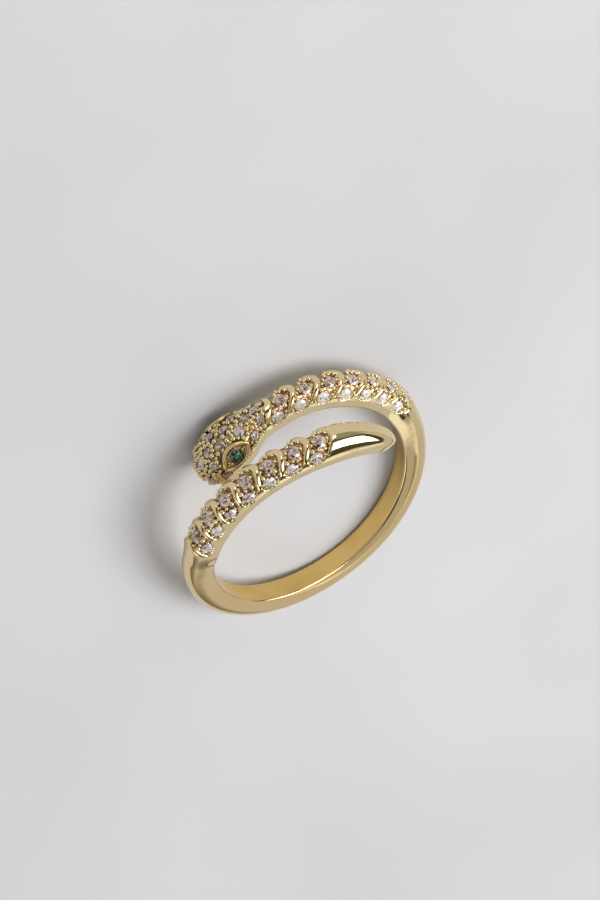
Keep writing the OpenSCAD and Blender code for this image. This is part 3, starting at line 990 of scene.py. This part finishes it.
# Beads at an eye's stone: distance along the eye and across it, radius
EYE_BEADS = ((0.66, 0.1, 0.14), (0.72, -0.14, 0.12), (0.9, 0.0, 0.1), (-0.68, 0.0, 0.13),
             (-0.86, 0.02, 0.1), (0.42, -0.46, 0.09), (-0.42, -0.47, 0.09))
EYE_BEAD_RISE, EYE_BEAD_TALL = -0.22, 1.2


def eye_beads():
    """Beads on both sides of each eye's stone."""
    parts = []
    for side in (1, -1):
        place = eye_place(side)
        for x, y, radius in EYE_BEADS:
            spot = place.copy()
            spot[:3, 3] = moved(place, np.array([[x, side * y, EYE_BEAD_RISE]]))[0]
            parts.append(at(spot, ball(radius, EYE_BEAD_TALL)))
    return join(parts)


# Degrees by which each stone is turned against the one before it, in the rows and on the head
ROW_TURN, HEAD_TURN = 11.0, 17.0


def row_stones(rng):
    """The two stones of each row, mauve on the crown, and clear or white on the flank."""
    cut = brilliant(STONE)
    for arm, start in (("tail", TAIL_FROM), ("neck", NECK_FROM)):
        flank = (WHITE, WHITE_SHARES) if arm == "neck" else (PALE, PALE_SHARES)
        kinds = (("crown", CROWN_AT, (MAUVE, MAUVE_SHARES)), ("flank", FLANK_AT, flank))
        for row in range(1, ROWS + 1):
            for side, across, (materials, shares) in kinds:
                place = turned(lay(row_middle(start, row), across, STONE_SINK), ROW_TURN * row)
                piece(f"{arm}_cut_{row}_{side}", at(place, cut), materials, f"{arm}_stone_{row}_{side}",
                      slot="pale_stone", rounded=False, tones=facet_tones(cut, shares, rng))


def head_stones(rng):
    """The small stones of the head as one piece, most of them dusky and some clear."""
    cut = brilliant(PAVE)
    stones, tones = [], []
    for i, (a, c) in enumerate(HEAD_STONES):
        stones.append(at(turned(lay(a, c, PAVE_SINK), HEAD_TURN * i), cut))
        clear = i in CLEAR_ON_HEAD
        own = facet_tones(cut, WHITE_SHARES if clear else DUSK_SHARES, rng)
        tones += [tone + STONE_TONES * clear for tone in own]
    piece("head_cut_stones", join(stones), [*DUSK, *PALE], "head_stones", slot="pale_stone",
          rounded=False, tones=tones)


def eye_stones(rng):
    """The green stone of each eye."""
    cut = brilliant(EYE_STONE)
    for side, name in ((1, "near"), (-1, "far")):
        place = eye_place(side)
        place[:3, 3] -= place[:3, 2] * EYE_SINK
        piece(f"eye_cut_{name}", at(place, cut), GREEN, f"eye_stone_{name}", slot="green_stone",
              rounded=False, tones=facet_tones(cut, GREEN_SHARES, rng))


# The camera as fitted to the photograph, at rest: the ways to it and up, metres to it
TO_CAMERA, CAMERA_UP = Vector((-0.11542, 0.72068, 0.68354)), Vector((0.54404, 0.62159, -0.56357))
CAMERA_AWAY = 0.27778
# The photograph's height, the focal length and the shift in its pixels; the sensor in millimetres
PHOTO_HIGH, FOCAL, SHIFT_X, SHIFT_Y, SENSOR = 900, 3802.6, -8.21, 57.46, 36


def camera():
    """The photograph's angle to the ring, above the floor, with the focal length from the fit."""
    view = TO_CAMERA.normalized()
    right = CAMERA_UP.cross(view).normalized()
    up = view.cross(right)
    origin = TO_ROW @ Vector((0, 0, 0))
    data = bpy.data.cameras.new("camera")
    data.sensor_width = SENSOR
    data.lens = FOCAL / PHOTO_HIGH * SENSOR
    data.shift_x = SHIFT_X / PHOTO_HIGH
    data.shift_y = SHIFT_Y / PHOTO_HIGH
    data.clip_start = 0.01
    cam = bpy.data.objects.new("camera", data)
    axes = Matrix((right, up, view)).transposed().to_4x4()
    cam.matrix_world = Matrix.Translation(origin + view * CAMERA_AWAY) @ axes
    bpy.context.scene.collection.objects.link(cam)
    bpy.context.scene.camera = cam


# Half the floor's width in metres, its two greys, and the scale of the noise between them
FLOOR_HALF, FLOOR_SCALE = 3.0, 30
FLOOR_LOW, FLOOR_HIGH = (0.63, 0.63, 0.645), (0.68, 0.68, 0.69)
# Its dark far part, painted shade which the gold mirrors: heading, metres where it starts and is full,
# colour
PAINTED_SHADE_HEADING, PAINTED_SHADE_FROM, PAINTED_SHADE_TO, FLOOR_PAINTED_SHADE = 243, 0.052, 0.08, (0.08, 0.07, 0.06)


def floor():
    """A plain pale floor; outside the picture painted shade makes it dark on one side."""
    half = FLOOR_HALF
    mesh = bpy.data.meshes.new("floor")
    corners = [(-half, -half, 0), (half, -half, 0), (half, half, 0), (-half, half, 0)]
    mesh.from_pydata(corners, [], [(0, 1, 2, 3)])
    material = bpy.data.materials.new("floor_paper_painted_shade")
    tree, shader = nodes_of(material)
    points = object_points(tree)
    colour = mix_by_noise(tree, points, FLOOR_LOW, FLOOR_HIGH, FLOOR_SCALE, detail=2)
    # Painted shade on the floor's far part, for the gold to mirror
    colour = patch(tree, points, direction(PAINTED_SHADE_HEADING, 0), PAINTED_SHADE_FROM, PAINTED_SHADE_TO, colour, FLOOR_PAINTED_SHADE)
    tree.links.new(colour, shader.inputs["Base Color"])
    shader.inputs["Roughness"].default_value = 0.7
    mesh.materials.append(material)
    obj = bpy.data.objects.new("floor", mesh)
    bpy.context.scene.collection.objects.link(obj)


# Lights: name, azimuth, elevation, width and height in degrees, radiance, metres away, spin in degrees
LIGHTS = (("key", 350, 59, 41, 42, 4.8, 0.5, -14),
          ("overhead", 110, 76, 44, 40, 0.4, 0.5, 0),
          ("left_fill", 202, 34, 30, 22, 1.3, 0.5, 0),
          ("rim", 66, 15, 34, 20, 2.0, 0.5, 0),
          ("card", 270, 38.5, 20, 17, 0.45, 0.06, 0),
          ("low_card", 293.3, 35.4, 18, 8, 0.33, 0.063, 0))


def softbox(name, azimuth, elevation, wide, high, radiance, distance, spin):
    """A rectangular light that faces the ring and looks that many degrees wide and high."""
    data = bpy.data.lights.new(name, "AREA")
    data.shape = "RECTANGLE"
    data.size = 2 * distance * math.tan(math.radians(wide / 2))
    data.size_y = 2 * distance * math.tan(math.radians(high / 2))
    data.energy = radiance * math.pi * data.size * data.size_y
    obj = bpy.data.objects.new(name, data)
    way = direction(azimuth, elevation)
    facing = way.to_track_quat("Z", "Y").to_matrix().to_4x4() @ Matrix.Rotation(math.radians(spin), 4, "Z")
    obj.matrix_world = Matrix.Translation(way * distance) @ facing
    bpy.context.scene.collection.objects.link(obj)


# The room's leaning top, and its colours by the cosine of the angle from that: pale, dark, then grey
ROOM_TOP = direction(60, 78)
ROOM = [(0.0, (0.62, 0.62, 0.64)), (0.42, (0.62, 0.61, 0.6)), (0.46, (0.065, 0.056, 0.046)),
        (0.8, (0.09, 0.085, 0.08)), (0.95, (0.4, 0.4, 0.42))]
# Its patches: azimuth, elevation, radius where they are full and where they end, colour
ROOM_PATCHES = ((275, 30, 5.5, 7.5, (0.62, 0.61, 0.6)),
                (35, 16, 16, 26, (0.34, 0.33, 0.32)),
                (228, 1, 5, 18, (0.26, 0.24, 0.21)),
                (255, 0, 5, 18, (0.26, 0.24, 0.21)))


def world():
    """A pale room low down and a dark one above, with patches, so that the gold has both to mirror."""
    room = bpy.data.worlds.new("room")
    bpy.context.scene.world = room
    room.use_nodes = True
    tree = room.node_tree
    points = tree.nodes.new("ShaderNodeTexCoord").outputs["Generated"]
    colour = ramp(tree, distance_along(tree, points, ROOM_TOP), ROOM)
    for azimuth, elevation, inner, outer, shade in ROOM_PATCHES:
        low, high = math.cos(math.radians(outer)), math.cos(math.radians(inner))
        colour = patch(tree, points, direction(azimuth, elevation), low, high, colour, shade)
    tree.links.new(colour, tree.nodes["Background"].inputs["Color"])


RNG = np.random.default_rng(seed=7)
body, body_tones = body_mesh()
piece("snake_metal", body, [GOLD, LOW_GROUND_PAINTED_SHADE_GOLD, BORE_PAINTED_SHADE_GOLD, RECESS_PAINTED_SHADE_GOLD], "ring_body", tones=body_tones)
piece("row_beads", row_beads(RNG), [BEAD_GOLD])
piece("head_beads", head_beads(RNG), [BEAD_GOLD])
piece("eye_rims", join([eye_rim(1), eye_rim(-1)]), [GOLD])
piece("eye_beads", eye_beads(), [BEAD_GOLD])
row_stones(RNG)
head_stones(RNG)
eye_stones(RNG)
camera()
floor()
world()
for light in LIGHTS:
    softbox(*light)
bpy.context.scene.view_settings.view_transform = "Standard"
